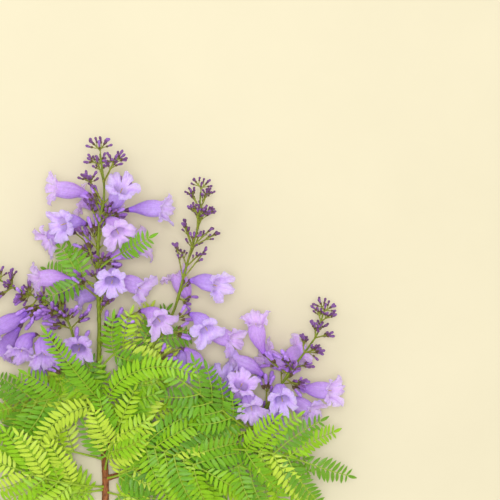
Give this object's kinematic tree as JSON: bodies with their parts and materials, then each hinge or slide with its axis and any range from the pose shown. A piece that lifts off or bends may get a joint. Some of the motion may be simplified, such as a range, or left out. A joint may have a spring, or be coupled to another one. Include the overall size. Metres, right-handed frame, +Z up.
{
  "type": "flowering jacaranda branch",
  "caption": "Cut branch lying on its side: woody stem with side shoots, feathery twice-divided leaves, and open heads of lilac trumpet blooms and dark buds.",
  "frame": {"origin": "middle of the branch's outline, on the surface it lies on", "axes": "+Y from the cut end towards the tip of the middle flower stalk, +Z up, away from the surface"},
  "size_m": [0.3607, 0.3518, 0.0737],
  "materials": {
    "stem": "reddish brown young bark, turning green up the shoots",
    "stalk": "olive green, smooth, with dark purple buds",
    "petal": "soft lilac petals, deeper violet in the tube",
    "leaf": "bright yellow-green, thin"
  },
  "bodies": {
    "root": {"main_stem": "stem", "shoot_right": "stem", "shoot_left": "stem", "shoot_far_right": "stem", "flower_stalk_centre": "stalk", "flower_stalk_right": "stalk", "flower_stalk_left": "stalk", "flower_stalk_far_right": "stalk", "bloom_centre_01": "petal", "bloom_centre_02": "petal", "bloom_centre_03": "petal", "bloom_centre_04": "petal", "bloom_centre_05": "petal", "bloom_centre_06": "petal", "bloom_centre_07": "petal", "bloom_centre_08": "petal", "bloom_centre_09": "petal", "bloom_centre_10": "petal", "bloom_centre_11": "petal", "bloom_centre_12": "petal", "bloom_centre_13": "petal", "bloom_centre_14": "petal", "bloom_centre_15": "petal", "bloom_right_01": "petal", "bloom_right_02": "petal", "bloom_right_03": "petal", "bloom_right_04": "petal", "bloom_right_05": "petal", "bloom_right_06": "petal", "bloom_left_01": "petal", "bloom_left_02": "petal", "bloom_left_03": "petal", "bloom_left_04": "petal", "bloom_left_05": "petal", "bloom_left_06": "petal", "bloom_far_right_01": "petal", "bloom_far_right_02": "petal", "bloom_far_right_03": "petal", "bloom_far_right_04": "petal", "bloom_far_right_05": "petal", "bloom_far_right_06": "petal", "bloom_far_right_07": "petal", "bloom_far_right_08": "petal", "bloom_far_right_09": "petal", "bloom_far_right_10": "petal", "bloom_far_right_11": "petal", "leaf_low_right": "leaf", "leaf_arching": "leaf", "leaf_mid_right": "leaf", "leaf_between": "leaf", "leaf_left": "leaf", "leaf_low_left": "leaf", "leaf_foot_left": "leaf", "leaf_front": "leaf", "leaf_foot_right": "leaf", "leaf_far_right": "leaf", "leaf_far_low": "leaf", "leaf_small_left": "leaf", "leaf_small_right": "leaf"}
  },
  "joints": []
}
